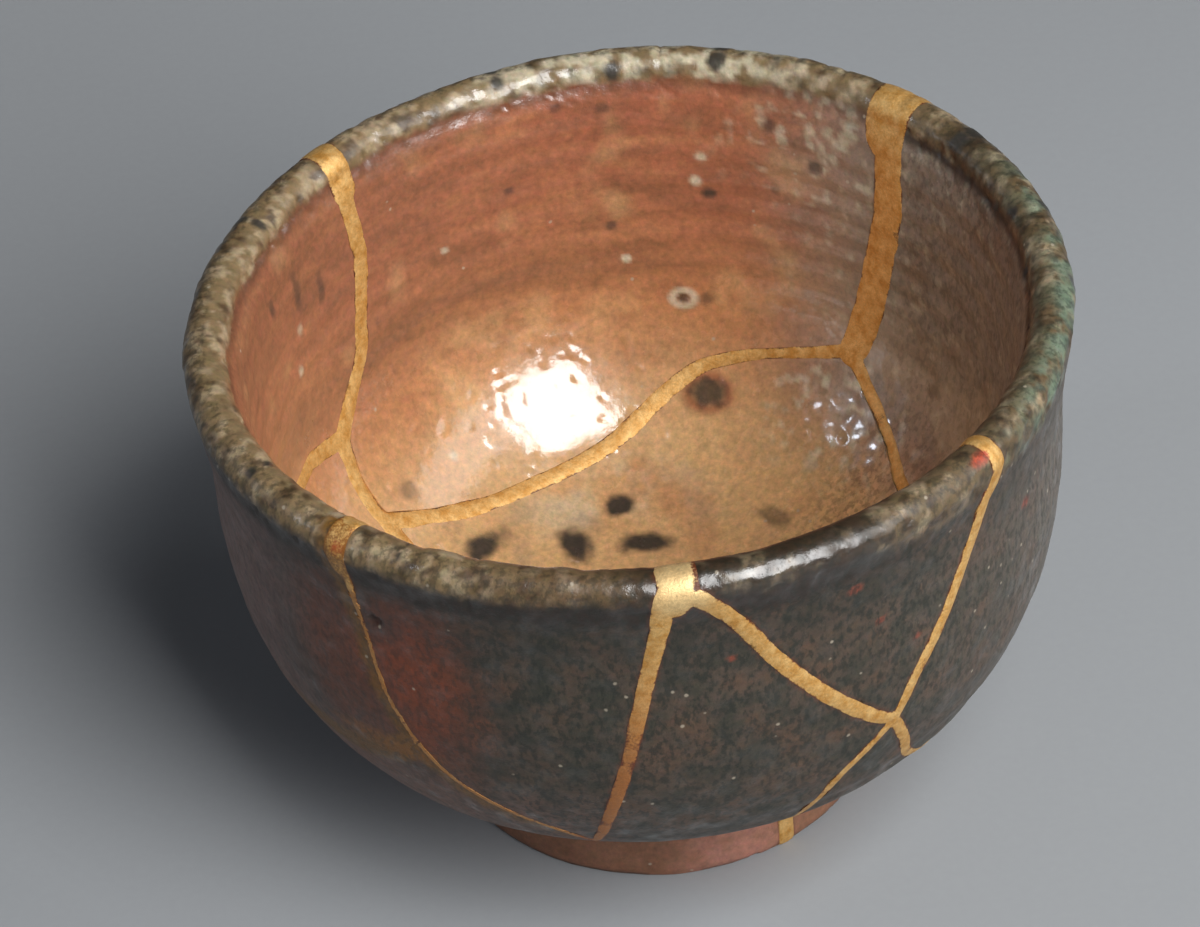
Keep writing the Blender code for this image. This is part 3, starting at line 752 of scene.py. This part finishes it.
def lacquer_stain(colour, outside, azimuth, level, points):
    """The brown lacquer that shows on the outside: a thin line beside each seam, a wider olive-brown band
    left of the hairline at the left front, a faint golden smear where the low seam leaves it, and the fleck
    of red enamel on the lip."""
    fine = rough_grain(points, 0.7 * MM, 81, 2)
    colour = blend(colour, RED_LACQUER, spot(azimuth, level, RED_ENAMEL, (1.0, 0.25), 0.5, 0.6 * fine) * 0.9)
    thin = 1 - rise(0.0, 0.16 * MM, outside + 0.1 * MM * fine)
    colour = blend(colour, LACQUER, thin * 0.5 * (1 - unseen_low_seam(azimuth, level)))
    azimuths, levels, _ = np.array(CRACKS["left_front"])[::-1].T
    hairline = np.interp(level, levels, azimuths)
    left = rise(-0.5, 1.0, -turn_from(azimuth, hairline))
    left = left * (1 - rise(0.5 * MM, 1.5 * MM, outside + 0.3 * MM * fine))
    left = left * rise(0.50, 0.56, level) * stretch_of(azimuth, -60, -8, 10)
    colour = blend(colour, OLD_LACQUER, left * 0.9)
    smear = spot(azimuth, level, (-41, 0.668), (3.8, 0.9), 0.7, 0.4 * fine)
    return blend(colour, AMBER, smear * 0.75)


def surface_bank():
    """Everything the pieces draw on: for each grid place, first on the outside and then on the inside, its
    point, colour and finish on the clay and on the gold, and its distance to the gold's edge."""
    azimuth, level = np.meshgrid(np.arange(ROUND) * math.tau / ROUND, level_rows())
    outside, half = (v.reshape(azimuth.shape) for v in seam_distances(azimuth.ravel(), level.ravel()))
    azimuth, level, outside = fit_to_edge(azimuth, level, outside)
    azimuth, level, outside, half = azimuth.ravel(), level.ravel(), outside.ravel(), half.ravel()
    depth = np.clip(-outside / np.maximum(half, 0.2 * MM), 0, 1)
    arch = np.sqrt(np.clip(1 - (1 - depth) ** 2, 0, 1))
    dome = GOLD_STEP + GOLD_DOME * arch * np.minimum(half / (0.6 * MM), 1)
    lip = rise(1.0, LIP_LEVEL, level)
    highest = np.full(len(level), LIP_LEVEL)
    top, _ = on_wall("outside", azimuth, highest)
    top_relief = outside_relief(azimuth, highest, top)
    clay, gold = [], []
    for side, relief, paint in (
        ("outside", outside_relief, outside_colour), ("inside", inside_relief, inside_colour)
    ):
        points, normals = on_wall(side, azimuth, level)
        height = relief(azimuth, level, points)
        height = height + (top_relief - height) * lip
        slow = slow_lumps(points) * MM if side == "outside" else 0.5 * height
        slow = slow + (top_relief - slow) * lip
        brushed = 0.02 * MM * rough_grain(points, 1.0 * MM, 91, 2) * depth
        hidden = unseen_low_seam(azimuth, level) if side == "outside" else 0
        bead = slow + dome + brushed
        bead = bead + (height - bead) * hidden
        places = [points + normals * height[:, None], points + normals * bead[:, None]]
        for place in places:
            place[:, 2] = np.maximum(place[:, 2], 0)
        fine = rough_grain(points, 0.8 * MM, 71, 2)
        colour = spotted(paint(azimuth, level, points), SOOT, azimuth, level, RIM_SPOTS, 0.35, 0.25 * fine)
        under = np.broadcast_to(LACQUER, colour.shape)
        if side == "outside":
            colour = lacquer_stain(colour, outside, azimuth, level, points)
            red = spot(azimuth, level, RED_ENAMEL, RED_SIZE, 0.4)
            red = red + spot(azimuth, level, (-41.6, 1.008), (0.35, 0.3), 0.5)
            under = blend(under, AMBER, spot(azimuth, level, AMBER_LIP, AMBER_SIZE, 0.4))
            under = blend(blend(under, RED_LACQUER, red), colour, hidden)
        clay.append(np.hstack([places[0], colour, clay_finish(side, azimuth, level, points)]))
        gold.append(np.hstack([places[1], under, gold_finish(side, azimuth, level, points, outside, half)]))
    bank = {"azimuth": azimuth, "level": level, "outside": outside}
    return bank | {"clay": np.vstack(clay), "gold": np.vstack(gold)}


def clay_finish(side, azimuth, level, points):
    """Three shares that the stoneware reads as red, green and alpha: gloss, how many pale specks there are,
    and how strong the fine dark flecks are."""
    slow = rough_grain(points, 7 * MM, 95)
    if side == "outside":
        bare = bare_clay(level)
        rim = rise(0.96, 0.985, level)
        left = stretch_of(azimuth, -170, -48, 24)
        gloss = 0.34 + 0.1 * slow - 0.15 * left * (1 - rim)
        gloss = (gloss + rim * (0.05 + 0.22 * stretch_of(azimuth, -2, 33, 14))) * (1 - bare)
        specks = 0.38 + 0.62 * stretch_of(azimuth, 35, 120, 30)
        specks = specks + 1.2 * spot(azimuth, level, (48, 1.008), (1.1, 0.7), 0.4)
        calm = 0.6 * stretch_of(azimuth, -56, -22, 14) + 0.45 * stretch_of(azimuth, 38, 150, 24)
        calm = np.maximum(0.7 * left, calm)
        flecks = (1.2 - calm * (1 - rim)) * (1 - 0.9 * bare) * (1 - 0.45 * rim)
    else:
        right = stretch_of(azimuth, 40, 132, 20)
        gloss = 0.5 + 0.5 * (1 - rise(0.55, 0.8, level)) + 0.1 * slow - 0.15 * right * rise(0.55, 0.65, level)
        gloss = gloss + 0.4 * spot(azimuth, level, WET_PATCH, (7, 5.5), 0.5)
        specks = 0.15 + 0.7 * stretch_of(azimuth, 60, 150, 30)
        flecks = 0.1 + 0.45 * right
    return np.clip(np.column_stack([gloss, specks, np.zeros(len(level)), flecks]), 0, 1)


def gold_finish(side, azimuth, level, points, outside, half):
    """Four shares that the lacquer reads as red, green, blue and alpha: how well the gold powder covers it,
    how coppery the gold is, how strong a painted highlight on the gold at the front of the lip is, and how
    far from a chipped edge it is."""
    thin = 1 - rise(0.26 * MM, 0.36 * MM, half)
    cover = rise(-0.03 * MM, 0.06 * MM, -outside + 0.05 * MM * grain(points, 0.6 * MM, 96))
    cover = cover + (0.58 - cover) * thin
    worn = rise(0.4, 0.65, rough_grain(points, 1.3 * MM, 97, 2))
    cover = cover * (1 - 0.65 * worn)
    lower_front = stretch_of(azimuth, -14, 1, 3) * (1 - rise(0.68, 0.96, level)) * rise(0.4, 0.45, level)
    copper = 0.06 + 0.8 * lower_front + 0.55 * thin
    # A painted highlight on the gold patch at the front of the lip
    gold_painted_highlight = 0.55 * spot(azimuth, level, (3.2, 1.015), (2.4, 1.9), 0.6)
    if side == "outside":
        cover = cover * (1 - unseen_low_seam(azimuth, level))
        cover = cover * (1 - 0.85 * spot(azimuth, level, RED_ENAMEL, RED_SIZE, 0.4))
        cover = cover * (1 - 0.75 * spot(azimuth, level, AMBER_LIP, AMBER_SIZE, 0.4))
        cover = cover * (1 - 0.75 * lower_front * rise(-0.1, 0.5, grain(points, 0.9 * MM, 98)))
    least = 0.45 if side == "inside" else 0.06 + 0.3 * rise(0.99, 1.01, level)
    whole = np.clip(-outside / (0.36 * MM), 0, 1) + least
    return np.clip(np.column_stack([cover, copper, gold_painted_highlight, whole]), 0, 1)


# Pieces


def real_ones(triangles):
    """The triangles whose three corners differ."""
    a, b, c = triangles.T
    return triangles[(a != b) & (b != c) & (c != a)]


def grid_triangles(bank):
    """The grid cut into triangles of place numbers, with the sherd or the gold (-1) that each belongs to. A
    cell is cut along the diagonal that keeps clay and gold corners apart, and the triangle's side of the
    gold's edge is that of its corners' sum. Where that is nothing, its middle's own distance decides."""
    rows = len(bank["level"]) // ROUND
    number = np.arange(rows * ROUND).reshape(rows, ROUND)
    number[0] = 0
    a, b = number[:-1], np.roll(number, -1, axis=1)[:-1]
    c, d = np.roll(number, -1, axis=1)[1:], number[1:]
    a, b, c, d = (v.ravel() for v in (a, b, c, d))
    side = np.sign(bank["outside"])
    other = (side[a] * side[c] < 0) | ((side[b] == 0) & (side[d] == 0))
    first = np.where(other[:, None], np.column_stack([a, b, d]), np.column_stack([a, b, c]))
    second = np.where(other[:, None], np.column_stack([b, c, d]), np.column_stack([a, c, d]))
    triangles = real_ones(np.vstack([first, second]))
    azimuth, level = bank["azimuth"], bank["level"]
    flat = np.column_stack([level * np.sin(azimuth), -level * np.cos(azimuth)])
    centres = flat[triangles].mean(axis=1)
    owner = np.full(len(triangles), -2)
    for index, walk in enumerate(SHERDS.values()):
        owner[(owner == -2) & within(centres, sherd_outline(walk))] = index
    total = bank["outside"][triangles].sum(axis=1)
    owner[total < 0] = -1
    level_ones = np.flatnonzero(total == 0)
    if len(level_ones):
        middle = centres[level_ones]
        exact, _ = seam_distances(np.arctan2(middle[:, 0], -middle[:, 1]), np.hypot(*middle.T))
        owner[level_ones[exact < 0]] = -1
    owner[owner == -2] = -1
    return triangles, owner


def closed_piece(name, triangles, table, places, material):
    """A piece as one closed solid: its places' outside, its inside the other way round, and between them a
    wall along every edge that only one of its triangles has. Outside and inside share the lip's last row."""
    edges = np.vstack([triangles[:, [0, 1]], triangles[:, [1, 2]], triangles[:, [2, 0]]])
    keys = edges[:, 0] * places + edges[:, 1]
    lone = edges[~np.isin(edges[:, 1] * places + edges[:, 0], keys)]
    lone = lone[lone[:, 0] != lone[:, 1]]

    def inner(numbers):
        return np.where(numbers >= places - ROUND, numbers, numbers + places)

    start, end = lone.T
    walls = np.vstack([
        np.column_stack([end, start, inner(start)]), np.column_stack([end, inner(start), inner(end)])
    ])
    faces = np.vstack([triangles, inner(triangles[:, ::-1]), real_ones(walls)])
    used, faces = np.unique(faces, return_inverse=True)
    faces = faces.reshape(-1, 3)

    mesh = bpy.data.meshes.new(name)
    mesh.vertices.add(len(used))
    table = table[used].astype(np.float32)
    mesh.vertices.foreach_set("co", table[:, :3].ravel())
    mesh.loops.add(faces.size)
    mesh.loops.foreach_set("vertex_index", faces.ravel().astype(np.int32))
    mesh.polygons.add(len(faces))
    mesh.polygons.foreach_set("loop_start", np.arange(0, faces.size, 3, dtype=np.int32))
    mesh.update(calc_edges=True)
    colours = np.hstack([table[:, 3:6], np.ones((len(table), 1), np.float32)])
    for attribute, values in (("surface_colour", colours), ("finish", table[:, 6:])):
        layer = mesh.attributes.new(attribute, "FLOAT_COLOR", "POINT")
        layer.data.foreach_set("color", values.ravel())
    mesh.shade_smooth()
    mesh.set_sharp_from_angle(angle=SHARP)
    mesh.materials.append(material)
    piece = bpy.data.objects.new(name, mesh)
    bpy.context.scene.collection.objects.link(piece)
    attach(piece, "root")
    return piece


# Materials


def add(material, kind, settings=None, links=None, **properties):
    """Adds a shader node with its properties, its socket settings, and links from other nodes' sockets."""
    node = material.node_tree.nodes.new(kind)
    for key, value in properties.items():
        setattr(node, key, value)
    for socket, value in (settings or {}).items():
        node.inputs[socket].default_value = value
    for socket, source in (links or {}).items():
        material.node_tree.links.new(source, node.inputs[socket])
    return node


def new_material(name):
    """A material with no nodes yet."""
    material = bpy.data.materials.new(name)
    material.use_nodes = True
    material.node_tree.nodes.clear()
    return material


def noise(m, where, size, detail=3.0, roughness=0.5):
    """Soft clouds, the largest of them that size, with smaller ones on them."""
    settings = {"Scale": 1 / size, "Detail": detail, "Roughness": roughness}
    return add(m, "ShaderNodeTexNoise", settings, {"Vector": where}).outputs


def ramp(m, value, start, end, low=0.0, high=1.0):
    """A value that goes from low to high while the given one goes from start to end."""
    settings = {"From Min": start, "From Max": end, "To Min": low, "To Max": high}
    return add(m, "ShaderNodeMapRange", settings, {"Value": value}).outputs[0]


def mixed(m, share, first, second):
    """Two colours mixed, each of them a socket or an sRGB hex."""
    colours = {"A": first, "B": second}
    fixed = {key: (*linear(colour), 1) for key, colour in colours.items() if isinstance(colour, str)}
    linked = {key: colour for key, colour in colours.items() if key not in fixed}
    return add(m, "ShaderNodeMix", fixed, {"Factor": share, **linked}, data_type="RGBA").outputs["Result"]


def joined(m, operation, first, second, kind="ShaderNodeMath"):
    """Two sockets joined by one operation, such as a sum or a product."""
    return add(m, kind, links={0: first, 1: second}, operation=operation).outputs[0]


def wood_fired_stoneware():
    """Stoneware fired with wood, thrown and turned: fly ash melts into a thin uneven glaze that is satin on
    the wall and glassy where it pools, with pin-sized grit, pores and iron flecks. The slow colours come
    with the surface, and the nodes add what is finer than half a millimetre."""
    m = new_material("wood_fired_stoneware")
    where = add(m, "ShaderNodeTexCoord").outputs["Object"]
    colour = add(m, "ShaderNodeAttribute", attribute_name="surface_colour").outputs["Color"]
    finish = add(m, "ShaderNodeAttribute", attribute_name="finish")
    shares = add(m, "ShaderNodeSeparateColor", links={"Color": finish.outputs["Color"]}).outputs
    glossy, grit_share, flecks = shares["Red"], shares["Green"], finish.outputs["Alpha"]

    # Clouds of 0.6 mm that vary the glaze's depth, and the hue with it
    cloud = noise(m, where, 0.6 * MM, 6.0, 0.7)
    shade = ramp(m, cloud["Fac"], 0.3, 0.7, 0.8, 1.2)
    toned = joined(m, "MULTIPLY", colour, shade, "ShaderNodeVectorMath")
    hue = add(m, "ShaderNodeVectorMath", {1: (0.36,) * 3, 2: (0.82,) * 3}, {0: cloud["Color"]},
              operation="MULTIPLY_ADD")
    toned = joined(m, "MULTIPLY", toned, hue.outputs[0], "ShaderNodeVectorMath")

    # Iron flecks: dark curds of 0.3 to 0.8 mm, a little taller than wide, as glaze runs down
    runs = add(m, "ShaderNodeVectorMath", {1: (1, 1, 0.6)}, {0: where}, operation="MULTIPLY")
    curd = noise(m, runs.outputs[0], 0.5 * MM, 3.0, 0.6)
    dark = joined(m, "MULTIPLY", ramp(m, curd["Fac"], 0.47, 0.60, 0.0, 0.7), flecks)
    flecked = mixed(m, dark, toned, "#1F221B")

    # Grit: a cell every 1.3 mm, and some cells show an uneven pale grain up to 0.25 mm across
    bent = add(m, "ShaderNodeVectorMath", {1: (0.25 * MM,) * 3}, {0: cloud["Color"], 2: where},
               operation="MULTIPLY_ADD")
    grit = add(m, "ShaderNodeTexVoronoi", {"Scale": 1 / (1.3 * MM)}, {"Vector": bent.outputs[0]}).outputs
    core = ramp(m, grit["Distance"], 0.15, 0.07)
    chance = add(m, "ShaderNodeSeparateColor", links={"Color": grit["Color"]}).outputs["Green"]
    picked = joined(m, "GREATER_THAN", chance, ramp(m, grit_share, 0, 1, 0.98, 0.72))
    pale = joined(m, "MULTIPLY", core, picked)
    pale = add(m, "ShaderNodeMath", {1: 0.6}, {0: pale}, operation="MULTIPLY").outputs[0]
    gritty = mixed(m, pale, flecked, "#B3A793")

    # Gloss: satin to glassy in patches of 1.7 mm
    gloss = joined(m, "ADD", noise(m, where, 1.7 * MM)["Fac"], glossy)
    rough = ramp(m, gloss, 0.35, 1.5, 0.62, 0.24)
    coat = ramp(m, gloss, 0.85, 1.35)

    # Skin: orange-peel of 0.5 mm and pores of 0.2 mm, only hundredths of a millimetre deep
    peel = noise(m, where, 0.55 * MM, 4.0, 0.6)["Fac"]
    pores = add(m, "ShaderNodeTexVoronoi", {"Scale": 1 / (0.45 * MM)}, {"Vector": where}).outputs
    pore = ramp(m, pores["Distance"], 0.0, 0.2)
    skin = add(m, "ShaderNodeMath", {1: 0.25}, {0: pore, 2: peel}, operation="MULTIPLY_ADD").outputs[0]
    firm = ramp(m, glossy, 0.4, 1.0, 0.75, 0.15)
    bump = add(m, "ShaderNodeBump", {"Distance": 0.08 * MM}, {"Height": skin, "Strength": firm}).outputs[0]

    shader = add(
        m, "ShaderNodeBsdfPrincipled", {"IOR": 1.5, "Metallic": 0.0, "Coat Roughness": 0.07, "Coat IOR": 1.6},
        {"Base Color": gritty, "Roughness": rough, "Normal": bump, "Coat Weight": coat, "Coat Normal": bump},
    )
    add(m, "ShaderNodeOutputMaterial", links={"Surface": shader.outputs[0]})
    return m


def gold_dusted_lacquer():
    """Gold powder sprinkled on wet lacquer and burnished by hand: a satin metal with a fine sparkle, and
    red-brown lacquer where the powder is thin, worn off or chipped at the edge."""
    m = new_material("gold_dusted_lacquer")
    where = add(m, "ShaderNodeTexCoord").outputs["Object"]
    under = add(m, "ShaderNodeAttribute", attribute_name="surface_colour").outputs["Color"]
    finish = add(m, "ShaderNodeAttribute", attribute_name="finish")
    shares = add(m, "ShaderNodeSeparateColor", links={"Color": finish.outputs["Color"]}).outputs
    powder, copper, gold_painted_highlight, whole = shares["Red"], shares["Green"], shares["Blue"], finish.outputs["Alpha"]

    # Where the gold covers: grains of 0.2 mm that thin out, and chips of 0.35 mm along the edge
    dust = noise(m, where, 0.2 * MM, 4.0, 0.7)["Fac"]
    cover = ramp(m, joined(m, "ADD", dust, powder), 0.62, 0.95)
    chip = noise(m, where, 0.35 * MM, 3.0, 0.6)["Fac"]
    kept = ramp(m, joined(m, "ADD", chip, whole), 0.44, 0.52)
    cover = joined(m, "MULTIPLY", cover, kept)

    # The gold's colour: clouds of 0.9 mm between two golds, coppery in places, paler where a painted
    # highlight lies at the front of the lip, and grains over it
    tone = ramp(m, noise(m, where, 0.9 * MM, 5.0, 0.65)["Fac"], 0.35, 0.65)
    gold = mixed(m, tone, "#CE9648", "#EDC27C")
    gold = mixed(m, copper, gold, "#A9683A")
    # Painted highlight: the gold paled towards cream
    gold = mixed(m, gold_painted_highlight, gold, "#F0D8A4")
    grains = ramp(m, dust, 0.3, 0.7, 0.8, 1.15)
    gold = joined(m, "MULTIPLY", gold, grains, "ShaderNodeVectorMath")
    base = mixed(m, cover, under, gold)

    metal = add(m, "ShaderNodeMath", {1: 0.5}, {0: cover}, operation="MULTIPLY").outputs[0]
    rough = ramp(m, dust, 0.3, 0.7, 0.38, 0.6)
    bump = add(m, "ShaderNodeBump", {"Strength": 0.8, "Distance": 0.06 * MM}, {"Height": dust}).outputs[0]
    shader = add(
        m, "ShaderNodeBsdfPrincipled",
        links={"Base Color": base, "Metallic": metal, "Roughness": rough, "Normal": bump},
    )
    add(m, "ShaderNodeOutputMaterial", links={"Surface": shader.outputs[0]})
    return m


def grey_paper():
    """A sheet of matt grey studio paper: even, with a hardly visible tooth."""
    m = new_material("grey_studio_paper")
    where = add(m, "ShaderNodeTexCoord").outputs["Object"]
    colour = mixed(m, noise(m, where, 0.8 * MM)["Fac"], "#979A9D", "#9B9EA1")
    shader = add(m, "ShaderNodeBsdfPrincipled", {"Roughness": 0.9}, {"Base Color": colour})
    add(m, "ShaderNodeOutputMaterial", links={"Surface": shader.outputs[0]})
    return m


# Stage


def aim(thing, place, target):
    """Puts a light at a place so that it shines on the target."""
    away = (Vector(place) - Vector(target)).normalized()
    thing.matrix_world = Matrix.Translation(place) @ away.to_track_quat("Z", "Y").to_matrix().to_4x4()


def soft_light(name, azimuth, elevation, distance, size, power, colour="#FFFFFF"):
    """A rectangular light seen from the cup at that azimuth and elevation, in degrees."""
    light = bpy.data.lights.new(name, "AREA")
    light.shape = "RECTANGLE"
    light.size, light.size_y = size
    light.energy = power
    light.color = linear(colour)
    thing = bpy.data.objects.new(name, light)
    bpy.context.scene.collection.objects.link(thing)
    turn, lift = math.radians(azimuth), math.radians(elevation)
    flat = distance * math.cos(lift)
    place = (flat * math.sin(turn), -flat * math.cos(turn), distance * math.sin(lift))
    aim(thing, place, (0, 0, HEIGHT / 2))


def make_stage():
    """The paper that the cup stands on, the window and three weaker lights, and a dim room."""
    scene = bpy.context.scene
    scene.view_settings.view_transform = "Standard"
    floor = bpy.data.meshes.new("studio_floor")
    reach = 1.5
    corners = [(-reach, -reach, 0), (reach, -reach, 0), (reach, reach, 0), (-reach, reach, 0)]
    floor.from_pydata(corners, [], [(0, 1, 2, 3)])
    floor.materials.append(grey_paper())
    thing = bpy.data.objects.new("studio_floor", floor)
    scene.collection.objects.link(thing)
    soft_light("window", 33, 45, 0.7, (0.32, 0.54), 6.2)
    soft_light("side_window", 76, 34, 0.7, (0.55, 0.45), 1.6)
    soft_light("far_window", -110, 22, 0.9, (0.3, 0.2), 0.3, "#F4F8FF")
    soft_light("skylight", -84, 33, 0.9, (0.11, 0.11), 0.65, "#E8F0FF")
    world = bpy.data.worlds.new("room")
    world.use_nodes = True
    background = world.node_tree.nodes["Background"]
    background.inputs["Color"].default_value = (*linear("#C9CCD0"), 1)
    background.inputs["Strength"].default_value = 0.03
    scene.world = world


def make_camera():
    """The photograph's view: 448 mm away, 39 degrees up, aimed just left of the cup's axis, and rolled by
    five degrees. The lens gives the photograph's width on a 36 mm sensor."""
    camera = bpy.data.cameras.new("camera")
    camera.lens = 173.55
    camera.sensor_width = 36
    camera.clip_start = 0.01
    place = Vector((-3.094, -348.247, 310.140)) * MM
    target = Vector((-3.094, 0, 28.2)) * MM
    back = (place - target).normalized()
    right = Vector((1, 0, 0))
    up = back.cross(right)
    roll = math.radians(-4.98)
    rolled_right = right * math.cos(roll) + up * math.sin(roll)
    rolled_up = up * math.cos(roll) - right * math.sin(roll)
    thing = bpy.data.objects.new("camera", camera)
    turned = Matrix((rolled_right, rolled_up, back)).transposed().to_4x4()
    thing.matrix_world = Matrix.Translation(place) @ turned
    bpy.context.scene.collection.objects.link(thing)
    bpy.context.scene.camera = thing


def main():
    """The whole scene: view, stage, and each piece cut from the shared grid."""
    make_camera()
    make_stage()
    clay, gold = wood_fired_stoneware(), gold_dusted_lacquer()
    bank = surface_bank()
    triangles, owner = grid_triangles(bank)
    places = len(bank["level"])
    for index, name in enumerate(SHERDS):
        mine = triangles[owner == index]
        piece = closed_piece(name + "_fired", mine, bank["clay"], places, clay)
        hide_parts(name)
    mine = triangles[owner == -1]
    piece = closed_piece("gold_seams_dusted", mine, bank["gold"], places, gold)
    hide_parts("gold_lacquer_seams")


main()
